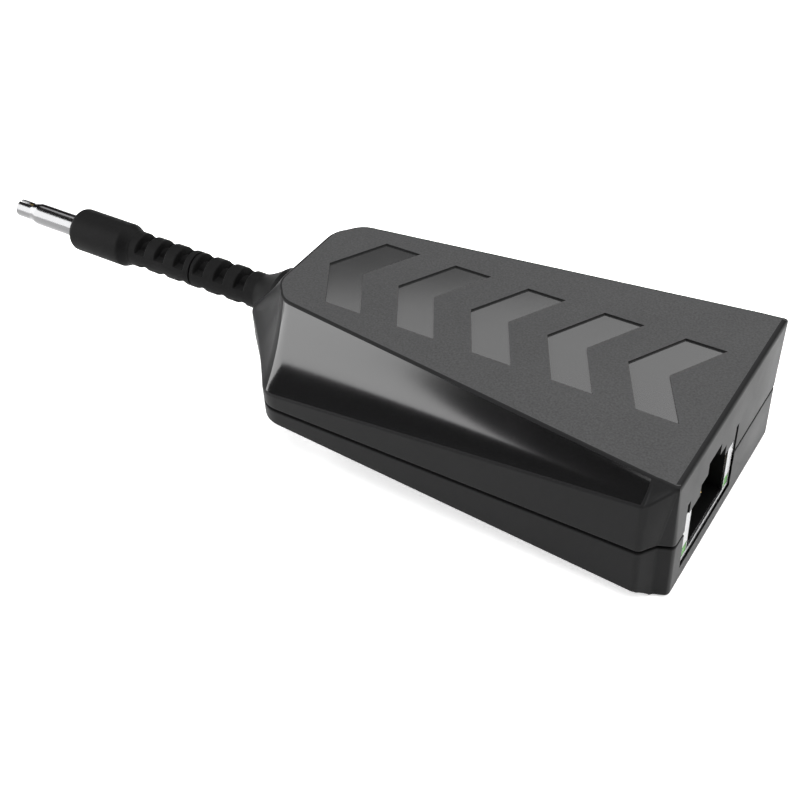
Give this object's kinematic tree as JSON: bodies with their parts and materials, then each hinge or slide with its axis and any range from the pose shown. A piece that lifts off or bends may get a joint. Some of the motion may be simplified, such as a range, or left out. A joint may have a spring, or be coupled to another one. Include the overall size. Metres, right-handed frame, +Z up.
{
  "type": "in-line power over ethernet adapter",
  "caption": "Small wedge-sided two-part case with a network jack at one end and a short flexible tail with a barrel power plug at the other.",
  "frame": {"origin": "middle of the case's flat underside", "axes": "+Z up, square to the underside; +X from the tail towards the network jack; +Y to the side away from the jack's port"},
  "size_m": [0.1215, 0.04, 0.0194],
  "materials": {
    "case_plastic": "fine satin texture",
    "rubber": "matte moulded",
    "jack_plastic": "smooth",
    "jack_metal": "bright plated sheet",
    "contact_gold": "gold plated",
    "light_green": "clear green",
    "board_green": "solder mask",
    "component_black": "moulded epoxy",
    "solder_tin": "tinned",
    "ferrite": "sintered",
    "winding_tape": "polyester tape",
    "can_sleeve": "shrink sleeve",
    "ceramic": "fired",
    "lead_red": "PVC",
    "lead_black": "PVC",
    "cable_jacket": "PVC",
    "plug_chrome": "polished nickel",
    "insulator": "moulded",
    "screw_steel": "zinc plated"
  },
  "bodies": {
    "case": {"upper_shell": "case_plastic", "lower_shell": "case_plastic", "case_screws": "screw_steel", "jack_housing": "jack_plastic", "jack_shield": "jack_metal", "jack_light_pipes": "light_green", "jack_contact_legs": "contact_gold", "circuit_board": "board_green", "lan_transformer": "component_black", "lan_transformer_legs": "solder_tin", "transformer_bobbin": "winding_tape", "transformer_core": "ferrite", "input_capacitor": "can_sleeve", "output_capacitors": "can_sleeve", "bridge_rectifiers": "component_black", "power_controller": "component_black", "switching_transistor": "component_black", "output_diode": "component_black", "output_inductor": "ferrite", "chip_capacitors": "ceramic", "chip_resistors": "component_black", "supply_lead_positive": "lead_red", "supply_lead_negative": "lead_black", "cable_root": "cable_jacket", "relief_root": "rubber"},
    "tail_middle": {"cable_near_half": "cable_jacket", "relief_near_half": "rubber"},
    "plug": {"cable_far_half": "cable_jacket", "relief_far_half": "rubber", "plug_grip": "rubber", "plug_sleeve": "plug_chrome", "plug_insulator": "insulator", "plug_centre_contact": "contact_gold"},
    "jack_contacts": {"jack_contact_springs": "contact_gold"}
  },
  "joints": [
    {"name": "tail_bend_sideways", "type": "hinge", "parent": "case", "child": "tail_middle", "pos_m": [-0.04335, 0, 0.0099], "axis": [0, 0, 1], "range_deg": [-35, 35], "stiffness_Nm_per_rad": 0.05, "deforming": ["cable_near_half", "relief_near_half"]},
    {"name": "tail_bend_up_down", "type": "hinge", "parent": "tail_middle", "child": "plug", "pos_m": [-0.0554, 0, 0.0099], "axis": [0, 1, 0], "range_deg": [-35, 35], "stiffness_Nm_per_rad": 0.05, "deforming": ["cable_far_half", "relief_far_half"]},
    {"name": "contact_press", "type": "hinge", "parent": "case", "child": "jack_contacts", "pos_m": [0.033, -0.006, 0.0044], "axis": [0, -1, 0], "range_deg": [0, 8], "stiffness_Nm_per_rad": 0.05}
  ]
}
